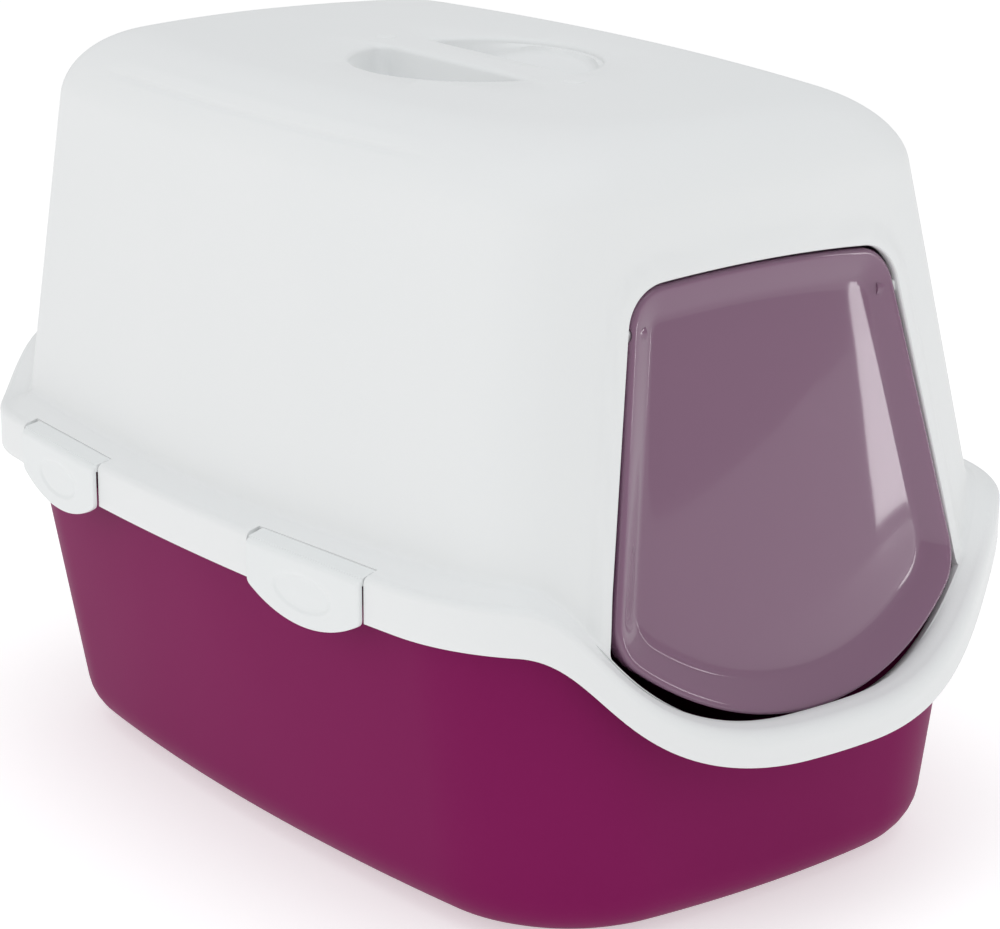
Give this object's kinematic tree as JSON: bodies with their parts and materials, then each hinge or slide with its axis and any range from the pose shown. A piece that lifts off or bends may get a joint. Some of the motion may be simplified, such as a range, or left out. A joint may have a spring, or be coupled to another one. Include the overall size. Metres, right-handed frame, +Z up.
{
  "type": "hooded litter box",
  "caption": "Covered cat litter box: drafted tray, lift-off hood with recessed carrying handle, smoky swinging door flap and side latches.",
  "frame": {"origin": "middle of the footprint, on the floor", "axes": "+Z up, the door faces -Y, +X to the right of someone who faces the door"},
  "size_m": [0.3976, 0.56, 0.4],
  "materials": {
    "tray_polypropylene": "satin moulded polypropylene",
    "hood_polypropylene": "fine satin grain, moulded polypropylene",
    "latch_polypropylene": "smooth satin moulded polypropylene",
    "clear_flap": "polished smoky clear plastic"
  },
  "bodies": {
    "tray": {"tray": "tray_polypropylene"},
    "hood": {"hood": "hood_polypropylene"},
    "flap": {"flap": "clear_flap"},
    "latch_front_left": {"latch_front_left": "latch_polypropylene"},
    "latch_rear_left": {"latch_rear_left": "latch_polypropylene"},
    "latch_front_right": {"latch_front_right": "latch_polypropylene"},
    "latch_rear_right": {"latch_rear_right": "latch_polypropylene"}
  },
  "joints": [
    {"name": "hood_lift", "type": "slide", "parent": "tray", "child": "hood", "axis": [0, 0, 1], "range_m": [0, 0.25]},
    {"name": "flap_swing", "type": "hinge", "parent": "hood", "child": "flap", "pos_m": [0, -0.211, 0.3045], "axis": [1, 0, 0], "range_deg": [-80, 80]},
    {"name": "latch_front_left_swing", "type": "hinge", "parent": "hood", "child": "latch_front_left", "pos_m": [-0.18751, -0.09962, 0.1846], "axis": [-0.0759, 0.9971, 0], "range_deg": [0, 95]},
    {"name": "latch_rear_left_swing", "type": "hinge", "parent": "hood", "child": "latch_rear_left", "pos_m": [-0.18756, 0.13562, 0.1846], "axis": [0.0755, 0.9971, 0], "range_deg": [0, 95]},
    {"name": "latch_front_right_swing", "type": "hinge", "parent": "hood", "child": "latch_front_right", "pos_m": [0.18751, -0.09962, 0.1846], "axis": [-0.0759, -0.9971, 0], "range_deg": [0, 95]},
    {"name": "latch_rear_right_swing", "type": "hinge", "parent": "hood", "child": "latch_rear_right", "pos_m": [0.18756, 0.13562, 0.1846], "axis": [0.0755, -0.9971, 0], "range_deg": [0, 95]}
  ]
}
